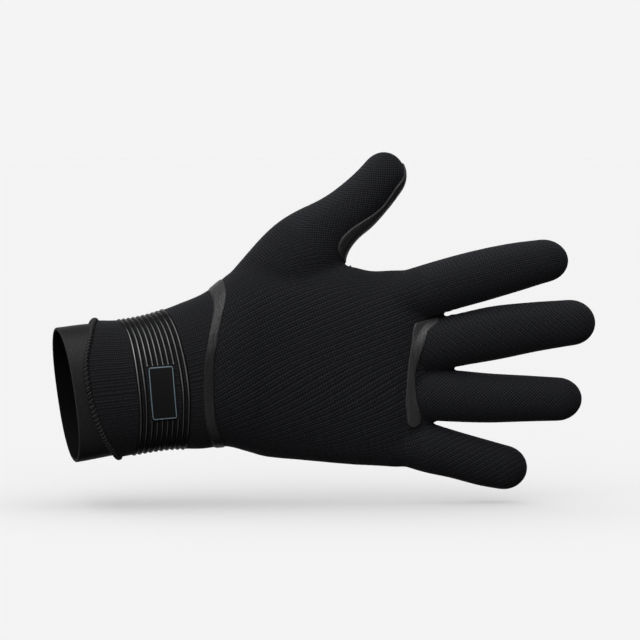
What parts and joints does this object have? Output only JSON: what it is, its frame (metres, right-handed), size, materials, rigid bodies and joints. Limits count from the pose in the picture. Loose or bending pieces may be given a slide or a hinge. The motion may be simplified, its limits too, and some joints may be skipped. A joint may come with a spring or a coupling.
{
  "type": "diving_glove",
  "caption": "Black knit-faced neoprene diving glove with a smooth inner cuff, raised grip rings, a blank wrist patch and satin seam tapes, held in its worn shape",
  "frame": {"origin": "centre of the opening that the hand goes into", "axes": "+X towards the fingertips, +Z towards the thumb side, -Y out of the back of the hand"},
  "size_m": [0.2622, 0.0558, 0.1624],
  "materials": {
    "knit_neoprene": "matte",
    "knit_sleeve": "matte",
    "smooth_skin": "satin",
    "hem_thread": "matte",
    "grip_rubber": "satin",
    "patch_rubber": "satin",
    "seam_tape": "satin"
  },
  "bodies": {
    "root": {"hand_shell": "knit_neoprene", "middle_finger": "knit_neoprene", "ring_finger": "knit_neoprene", "cuff_sleeve": "knit_sleeve", "seal_cuff": "smooth_skin", "hem_binding": "hem_thread", "grip_ring_1": "grip_rubber", "grip_ring_2": "grip_rubber", "grip_ring_3": "grip_rubber", "grip_ring_4": "grip_rubber", "grip_ring_5": "grip_rubber", "grip_ring_6": "grip_rubber", "grip_ring_7": "grip_rubber", "grip_ring_8": "grip_rubber", "grip_ring_9": "grip_rubber", "grip_ring_10": "grip_rubber", "blank_patch": "patch_rubber", "wrist_tape": "seam_tape", "finger_tape": "seam_tape", "thumb_tape": "seam_tape"}
  },
  "joints": []
}
